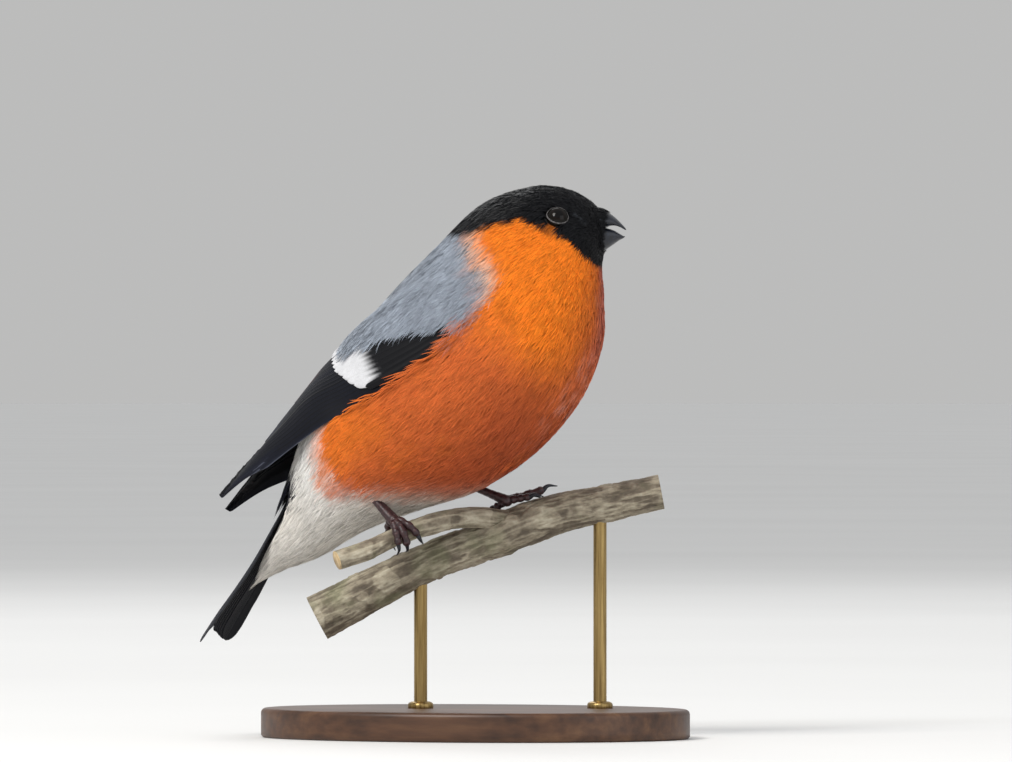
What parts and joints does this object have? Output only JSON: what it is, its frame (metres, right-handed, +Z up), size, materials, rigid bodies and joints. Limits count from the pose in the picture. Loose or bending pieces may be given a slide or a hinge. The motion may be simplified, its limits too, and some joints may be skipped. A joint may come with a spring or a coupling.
{
  "type": "perched songbird model",
  "caption": "Life-size still model of a male bullfinch with an orange breast and black cap, gripping a cut length of branch held over a flat oval base by short rods",
  "frame": {"origin": "middle of the bottom of the whole model's box, on the underside of the stand's base", "axes": "+X is the way the trunk faces, +Y the bird's left, +Z up from the base"},
  "size_m": [0.12, 0.076, 0.133],
  "materials": {
    "plumage_black": "soft black feathers with a faint blue gloss",
    "plumage_orange": "soft orange-red body feathers",
    "plumage_grey": "soft blue-grey covert feathers",
    "plumage_blue_black": "glossy blue-black flight feathers",
    "horn": "smooth dark horn with a soft sheen",
    "eye": "wet, polished, very dark brown",
    "skin_scales": "scaly dark purplish-brown skin",
    "bark": "rough grey bark",
    "base_wood": "satin dark stained wood",
    "rod_metal": "brushed brass"
  },
  "bodies": {
    "root": {"head": "plumage_black", "neck": "plumage_orange", "trunk": "plumage_orange", "bill_upper": "horn", "bill_lower": "horn", "eye_right": "eye", "eye_left": "eye", "wing_right_coverts": "plumage_grey", "wing_right_secondaries": "plumage_blue_black", "wing_right_primaries": "plumage_blue_black", "wing_left_coverts": "plumage_grey", "wing_left_secondaries": "plumage_blue_black", "wing_left_primaries": "plumage_blue_black", "tail": "plumage_blue_black", "leg_right": "skin_scales", "claw_right_1": "horn", "claw_right_2": "horn", "claw_right_3": "horn", "claw_right_4": "horn", "leg_left": "skin_scales", "claw_left_1": "horn", "claw_left_2": "horn", "claw_left_3": "horn", "claw_left_4": "horn", "perch_branch": "bark", "stand_base": "base_wood", "stand_rod_1": "rod_metal", "stand_rod_2": "rod_metal"}
  },
  "joints": []
}
